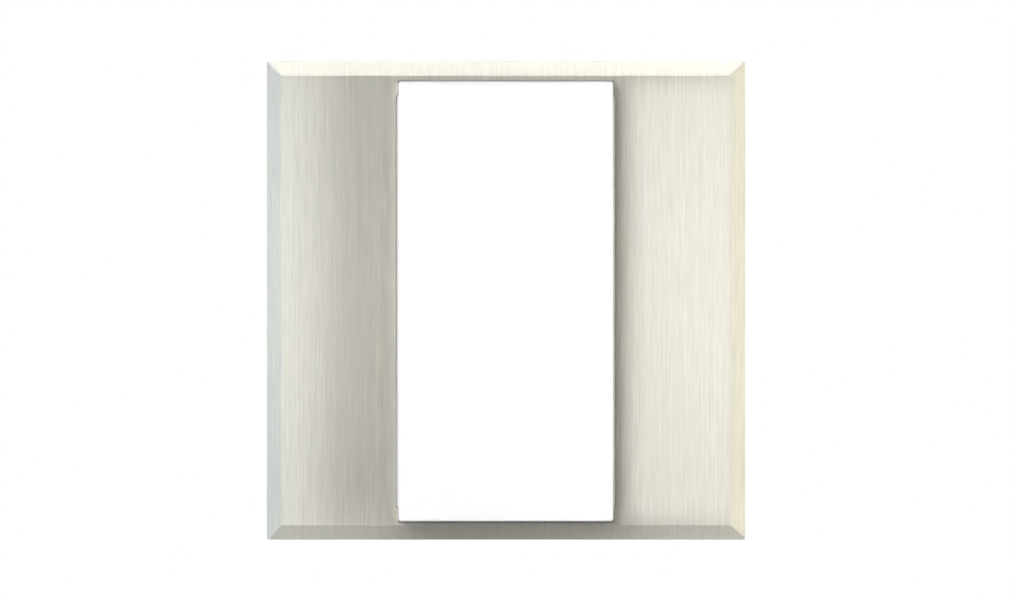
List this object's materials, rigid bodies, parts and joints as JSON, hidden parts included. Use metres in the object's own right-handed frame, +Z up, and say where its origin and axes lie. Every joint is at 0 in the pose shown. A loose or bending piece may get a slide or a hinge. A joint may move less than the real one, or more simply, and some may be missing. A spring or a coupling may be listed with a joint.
{
  "type": "switch frame with rocker",
  "caption": "Square brushed-metal switch frame with a mitred bevel and a tall white self-levelling rocker, on a yoke with push contacts and a terminal housing for a flush wall box.",
  "frame": {"origin": "on the wall plane, midway between the two fixing screws, at the frame's centre", "axes": "+X to the right seen from the room, +Y into the wall along the fixing screws, +Z up"},
  "size_m": [0.086, 0.035, 0.086],
  "materials": {
    "brushed_frame": "fine vertical brushing, satin",
    "white_rocker": "smooth satin",
    "grey_carrier": "fine moulded matt",
    "zinc_steel": "zinc plated sheet",
    "plated_screws": "nickel plated",
    "ivory_moulding": "fine moulded matt",
    "spring_steel": "bright drawn",
    "brass": "bright machined",
    "silver_tips": "plain silver"
  },
  "bodies": {
    "base": {"frame_plate": "brushed_frame", "frame_carrier": "grey_carrier", "mounting_yoke": "zinc_steel", "fixing_screws": "plated_screws", "earth_clamp": "brass", "earth_screw": "plated_screws", "mechanism_cover": "ivory_moulding", "rear_housing": "ivory_moulding", "cover_screws": "plated_screws", "pivot_pin": "spring_steel", "upper_return_spring": "spring_steel", "lower_return_spring": "spring_steel", "common_terminal": "brass", "upper_terminal": "brass", "lower_terminal": "brass", "fixed_contacts": "silver_tips", "terminal_screws": "plated_screws"},
    "rocker": {"rocker_cap": "white_rocker", "dolly": "grey_carrier"},
    "bridge": {"contact_bridge": "brass", "bridge_contacts": "silver_tips"}
  },
  "joints": [
    {"name": "rocker_tilt", "type": "hinge", "parent": "base", "child": "rocker", "pos_m": [0, -0.0058, 0], "axis": [1, 0, 0], "range_deg": [-3, 3], "stiffness_Nm_per_rad": 0.27, "deforming": ["upper_return_spring", "lower_return_spring"]},
    {"name": "bridge_tilt", "type": "hinge", "parent": "base", "child": "bridge", "pos_m": [0, 0.00548, 0], "axis": [1, 0, 0], "range_deg": [-3.1, 3.1]}
  ],
  "couplings": [
    {"joint": "bridge_tilt", "follows": "rocker_tilt", "ratio": 1}
  ]
}
